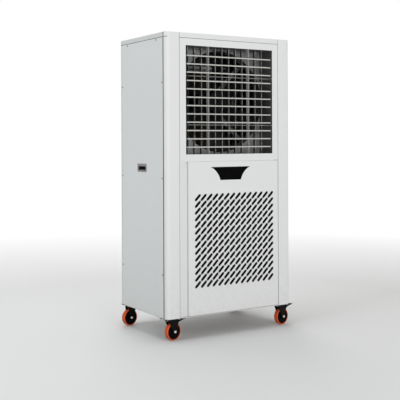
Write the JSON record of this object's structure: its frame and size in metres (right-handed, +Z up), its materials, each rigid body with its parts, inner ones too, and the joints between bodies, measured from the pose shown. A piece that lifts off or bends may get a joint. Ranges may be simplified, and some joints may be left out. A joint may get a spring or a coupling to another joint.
{
  "type": "evaporative cooler",
  "caption": "Tall wheeled evaporative air cooler: sheet-metal cabinet, louvred air outlet, slotted service door, black control fascia, swivel casters with brakes.",
  "frame": {"origin": "on the floor, at the middle of the overall footprint (brake pedals and water fittings included); the cabinet's own middle is 15 mm to the left of it and 20 mm in front of it", "axes": "+Z up, -Y out of the front with the louvred outlet, +X to the right seen from the front"},
  "size_m": [0.9152, 0.604, 1.705],
  "materials": {
    "white_enamel": "fine-texture powder coat",
    "black_gloss_panel": "gloss",
    "grey_plastic": "matte",
    "satin_silver": "satin",
    "zinc_steel": "zinc plated",
    "galvanised_sheet": "galvanised",
    "dark_fan": "matte",
    "tank_plastic": "moulded",
    "pump_plastic": "moulded",
    "white_pipe": "smooth",
    "brass": "satin",
    "filter_mesh": "woven mesh",
    "pad_paper": "corrugated, damp",
    "black_steel": "black e-coat",
    "orange_polyurethane": "satin"
  },
  "bodies": {
    "cabinet": {"chassis_frame": "white_enamel", "front_left_column": "white_enamel", "front_right_column": "white_enamel", "top_cover": "white_enamel", "left_side_panel": "white_enamel", "right_side_panel": "white_enamel", "outlet_panel": "white_enamel", "rear_panel": "white_enamel", "side_handles": "grey_plastic", "outlet_frame": "satin_silver", "fan_bulkhead": "galvanised_sheet", "fan_motor": "dark_fan", "water_tank": "tank_plastic", "water_pump": "pump_plastic", "water_pipes": "white_pipe", "water_fittings": "brass", "dust_filters": "filter_mesh", "cooling_pads": "pad_paper", "caster_plates": "black_steel", "cabinet_fasteners": "zinc_steel"},
    "door": {"service_door": "white_enamel", "control_fascia": "black_gloss_panel"},
    "rotor": {"fan_rotor": "dark_fan"},
    "float": {"float_arm": "brass"},
    "tilt_blade_01": {"tilt_blade_01": "satin_silver"},
    "tilt_blade_02": {"tilt_blade_02": "satin_silver"},
    "tilt_blade_03": {"tilt_blade_03": "satin_silver"},
    "tilt_blade_04": {"tilt_blade_04": "satin_silver"},
    "tilt_blade_05": {"tilt_blade_05": "satin_silver"},
    "tilt_blade_06": {"tilt_blade_06": "satin_silver"},
    "tilt_blade_07": {"tilt_blade_07": "satin_silver"},
    "tilt_blade_08": {"tilt_blade_08": "satin_silver"},
    "tilt_blade_09": {"tilt_blade_09": "satin_silver"},
    "tilt_blade_10": {"tilt_blade_10": "satin_silver"},
    "tilt_blade_11": {"tilt_blade_11": "satin_silver"},
    "tilt_blade_12": {"tilt_blade_12": "satin_silver"},
    "blade_link_bar": {"blade_link_bar": "zinc_steel"},
    "swing_vane_01": {"swing_vane_01": "satin_silver"},
    "swing_vane_02": {"swing_vane_02": "satin_silver"},
    "swing_vane_03": {"swing_vane_03": "satin_silver"},
    "swing_vane_04": {"swing_vane_04": "satin_silver"},
    "swing_vane_05": {"swing_vane_05": "satin_silver"},
    "swing_vane_06": {"swing_vane_06": "satin_silver"},
    "swing_vane_07": {"swing_vane_07": "satin_silver"},
    "swing_vane_08": {"swing_vane_08": "satin_silver"},
    "swing_vane_09": {"swing_vane_09": "satin_silver"},
    "swing_vane_10": {"swing_vane_10": "satin_silver"},
    "swing_vane_11": {"swing_vane_11": "satin_silver"},
    "swing_vane_12": {"swing_vane_12": "satin_silver"},
    "vane_link_bar": {"vane_link_bar": "zinc_steel"},
    "fork_front_left": {"caster_fork_front_left": "black_steel"},
    "wheel_front_left": {"caster_wheel_front_left": "orange_polyurethane"},
    "pedal_front_left": {"brake_pedal_front_left": "black_steel"},
    "fork_front_right": {"caster_fork_front_right": "black_steel"},
    "wheel_front_right": {"caster_wheel_front_right": "orange_polyurethane"},
    "pedal_front_right": {"brake_pedal_front_right": "black_steel"},
    "fork_rear_left": {"caster_fork_rear_left": "black_steel"},
    "wheel_rear_left": {"caster_wheel_rear_left": "orange_polyurethane"},
    "fork_rear_right": {"caster_fork_rear_right": "black_steel"},
    "wheel_rear_right": {"caster_wheel_rear_right": "orange_polyurethane"}
  },
  "joints": [
    {"name": "blade_tilt_01", "type": "hinge", "parent": "cabinet", "child": "tilt_blade_01", "pos_m": [-0.015, -0.283, 1.58075], "axis": [1, 0, 0], "range_deg": [-35, 35]},
    {"name": "blade_tilt_02", "type": "hinge", "parent": "cabinet", "child": "tilt_blade_02", "pos_m": [-0.015, -0.283, 1.53425], "axis": [1, 0, 0], "range_deg": [-35, 35]},
    {"name": "blade_tilt_03", "type": "hinge", "parent": "cabinet", "child": "tilt_blade_03", "pos_m": [-0.015, -0.283, 1.48775], "axis": [1, 0, 0], "range_deg": [-35, 35]},
    {"name": "blade_tilt_04", "type": "hinge", "parent": "cabinet", "child": "tilt_blade_04", "pos_m": [-0.015, -0.283, 1.44125], "axis": [1, 0, 0], "range_deg": [-35, 35]},
    {"name": "blade_tilt_05", "type": "hinge", "parent": "cabinet", "child": "tilt_blade_05", "pos_m": [-0.015, -0.283, 1.39475], "axis": [1, 0, 0], "range_deg": [-35, 35]},
    {"name": "blade_tilt_06", "type": "hinge", "parent": "cabinet", "child": "tilt_blade_06", "pos_m": [-0.015, -0.283, 1.34825], "axis": [1, 0, 0], "range_deg": [-35, 35]},
    {"name": "blade_tilt_07", "type": "hinge", "parent": "cabinet", "child": "tilt_blade_07", "pos_m": [-0.015, -0.283, 1.30175], "axis": [1, 0, 0], "range_deg": [-35, 35]},
    {"name": "blade_tilt_08", "type": "hinge", "parent": "cabinet", "child": "tilt_blade_08", "pos_m": [-0.015, -0.283, 1.25525], "axis": [1, 0, 0], "range_deg": [-35, 35]},
    {"name": "blade_tilt_09", "type": "hinge", "parent": "cabinet", "child": "tilt_blade_09", "pos_m": [-0.015, -0.283, 1.20875], "axis": [1, 0, 0], "range_deg": [-35, 35]},
    {"name": "blade_tilt_10", "type": "hinge", "parent": "cabinet", "child": "tilt_blade_10", "pos_m": [-0.015, -0.283, 1.16225], "axis": [1, 0, 0], "range_deg": [-35, 35]},
    {"name": "blade_tilt_11", "type": "hinge", "parent": "cabinet", "child": "tilt_blade_11", "pos_m": [-0.015, -0.283, 1.11575], "axis": [1, 0, 0], "range_deg": [-35, 35]},
    {"name": "blade_tilt_12", "type": "hinge", "parent": "cabinet", "child": "tilt_blade_12", "pos_m": [-0.015, -0.283, 1.06925], "axis": [1, 0, 0], "range_deg": [-35, 35]},
    {"name": "blade_link_pivot", "type": "hinge", "parent": "tilt_blade_01", "child": "blade_link_bar", "pos_m": [-0.283, -0.272, 1.58075], "axis": [1, 0, 0], "range_deg": [-35, 35]},
    {"name": "vane_swing_01", "type": "hinge", "parent": "cabinet", "child": "swing_vane_01", "pos_m": [-0.27075, -0.24, 1.3325], "axis": [0, 0, 1], "range_deg": [-35, 35]},
    {"name": "vane_swing_02", "type": "hinge", "parent": "cabinet", "child": "swing_vane_02", "pos_m": [-0.22425, -0.24, 1.3325], "axis": [0, 0, 1], "range_deg": [-35, 35]},
    {"name": "vane_swing_03", "type": "hinge", "parent": "cabinet", "child": "swing_vane_03", "pos_m": [-0.17775, -0.24, 1.3325], "axis": [0, 0, 1], "range_deg": [-35, 35]},
    {"name": "vane_swing_04", "type": "hinge", "parent": "cabinet", "child": "swing_vane_04", "pos_m": [-0.13125, -0.24, 1.3325], "axis": [0, 0, 1], "range_deg": [-35, 35]},
    {"name": "vane_swing_05", "type": "hinge", "parent": "cabinet", "child": "swing_vane_05", "pos_m": [-0.08475, -0.24, 1.3325], "axis": [0, 0, 1], "range_deg": [-35, 35]},
    {"name": "vane_swing_06", "type": "hinge", "parent": "cabinet", "child": "swing_vane_06", "pos_m": [-0.03825, -0.24, 1.3325], "axis": [0, 0, 1], "range_deg": [-35, 35]},
    {"name": "vane_swing_07", "type": "hinge", "parent": "cabinet", "child": "swing_vane_07", "pos_m": [0.00825, -0.24, 1.3325], "axis": [0, 0, 1], "range_deg": [-35, 35]},
    {"name": "vane_swing_08", "type": "hinge", "parent": "cabinet", "child": "swing_vane_08", "pos_m": [0.05475, -0.24, 1.3325], "axis": [0, 0, 1], "range_deg": [-35, 35]},
    {"name": "vane_swing_09", "type": "hinge", "parent": "cabinet", "child": "swing_vane_09", "pos_m": [0.10125, -0.24, 1.3325], "axis": [0, 0, 1], "range_deg": [-35, 35]},
    {"name": "vane_swing_10", "type": "hinge", "parent": "cabinet", "child": "swing_vane_10", "pos_m": [0.14775, -0.24, 1.3325], "axis": [0, 0, 1], "range_deg": [-35, 35]},
    {"name": "vane_swing_11", "type": "hinge", "parent": "cabinet", "child": "swing_vane_11", "pos_m": [0.19425, -0.24, 1.3325], "axis": [0, 0, 1], "range_deg": [-35, 35]},
    {"name": "vane_swing_12", "type": "hinge", "parent": "cabinet", "child": "swing_vane_12", "pos_m": [0.24075, -0.24, 1.3325], "axis": [0, 0, 1], "range_deg": [-35, 35]},
    {"name": "vane_link_pivot", "type": "hinge", "parent": "swing_vane_01", "child": "vane_link_bar", "pos_m": [-0.27075, -0.232, 1.624], "axis": [0, 0, 1], "range_deg": [-35, 35]},
    {"name": "fan_spin", "type": "hinge", "parent": "cabinet", "child": "rotor", "pos_m": [-0.015, -0.148, 1.3325], "axis": [0, 1, 0], "continuous": true},
    {"name": "door_hinge", "type": "hinge", "parent": "cabinet", "child": "door", "pos_m": [0.313, -0.294, 0.555], "axis": [0, 0, 1], "range_deg": [0, 110]},
    {"name": "float_pivot", "type": "hinge", "parent": "cabinet", "child": "float", "pos_m": [0.337, 0.164, 0.343], "axis": [1, 0, 0], "range_deg": [-15, 25]},
    {"name": "caster_swivel_front_left", "type": "hinge", "parent": "cabinet", "child": "fork_front_left", "pos_m": [-0.391, -0.255, 0.112], "axis": [0, 0, 1], "continuous": true},
    {"name": "wheel_spin_front_left", "type": "hinge", "parent": "fork_front_left", "child": "wheel_front_left", "pos_m": [-0.37524, -0.25222, 0.0485], "axis": [-0.1736, 0.9848, 0], "continuous": true},
    {"name": "brake_front_left", "type": "hinge", "parent": "fork_front_left", "child": "pedal_front_left", "pos_m": [-0.35417, -0.24851, 0.1], "axis": [-0.1736, 0.9848, 0], "range_deg": [0, 20]},
    {"name": "caster_swivel_front_right", "type": "hinge", "parent": "cabinet", "child": "fork_front_right", "pos_m": [0.361, -0.255, 0.112], "axis": [0, 0, 1], "continuous": true},
    {"name": "wheel_spin_front_right", "type": "hinge", "parent": "fork_front_right", "child": "wheel_front_right", "pos_m": [0.37676, -0.25222, 0.0485], "axis": [-0.1736, 0.9848, 0], "continuous": true},
    {"name": "brake_front_right", "type": "hinge", "parent": "fork_front_right", "child": "pedal_front_right", "pos_m": [0.39783, -0.24851, 0.1], "axis": [-0.1736, 0.9848, 0], "range_deg": [0, 20]},
    {"name": "caster_swivel_rear_left", "type": "hinge", "parent": "cabinet", "child": "fork_rear_left", "pos_m": [-0.391, 0.215, 0.112], "axis": [0, 0, 1], "continuous": true},
    {"name": "wheel_spin_rear_left", "type": "hinge", "parent": "fork_rear_left", "child": "wheel_rear_left", "pos_m": [-0.40676, 0.21222, 0.0485], "axis": [-0.1736, 0.9848, 0], "continuous": true},
    {"name": "caster_swivel_rear_right", "type": "hinge", "parent": "cabinet", "child": "fork_rear_right", "pos_m": [0.361, 0.215, 0.112], "axis": [0, 0, 1], "continuous": true},
    {"name": "wheel_spin_rear_right", "type": "hinge", "parent": "fork_rear_right", "child": "wheel_rear_right", "pos_m": [0.34524, 0.21222, 0.0485], "axis": [-0.1736, 0.9848, 0], "continuous": true}
  ],
  "couplings": [
    {"joint": "blade_tilt_02", "follows": "blade_tilt_01", "ratio": 1},
    {"joint": "blade_tilt_03", "follows": "blade_tilt_01", "ratio": 1},
    {"joint": "blade_tilt_04", "follows": "blade_tilt_01", "ratio": 1},
    {"joint": "blade_tilt_05", "follows": "blade_tilt_01", "ratio": 1},
    {"joint": "blade_tilt_06", "follows": "blade_tilt_01", "ratio": 1},
    {"joint": "blade_tilt_07", "follows": "blade_tilt_01", "ratio": 1},
    {"joint": "blade_tilt_08", "follows": "blade_tilt_01", "ratio": 1},
    {"joint": "blade_tilt_09", "follows": "blade_tilt_01", "ratio": 1},
    {"joint": "blade_tilt_10", "follows": "blade_tilt_01", "ratio": 1},
    {"joint": "blade_tilt_11", "follows": "blade_tilt_01", "ratio": 1},
    {"joint": "blade_tilt_12", "follows": "blade_tilt_01", "ratio": 1},
    {"joint": "blade_link_pivot", "follows": "blade_tilt_01", "ratio": -1},
    {"joint": "vane_swing_02", "follows": "vane_swing_01", "ratio": 1},
    {"joint": "vane_swing_03", "follows": "vane_swing_01", "ratio": 1},
    {"joint": "vane_swing_04", "follows": "vane_swing_01", "ratio": 1},
    {"joint": "vane_swing_05", "follows": "vane_swing_01", "ratio": 1},
    {"joint": "vane_swing_06", "follows": "vane_swing_01", "ratio": 1},
    {"joint": "vane_swing_07", "follows": "vane_swing_01", "ratio": 1},
    {"joint": "vane_swing_08", "follows": "vane_swing_01", "ratio": 1},
    {"joint": "vane_swing_09", "follows": "vane_swing_01", "ratio": 1},
    {"joint": "vane_swing_10", "follows": "vane_swing_01", "ratio": 1},
    {"joint": "vane_swing_11", "follows": "vane_swing_01", "ratio": 1},
    {"joint": "vane_swing_12", "follows": "vane_swing_01", "ratio": 1},
    {"joint": "vane_link_pivot", "follows": "vane_swing_01", "ratio": -1}
  ]
}
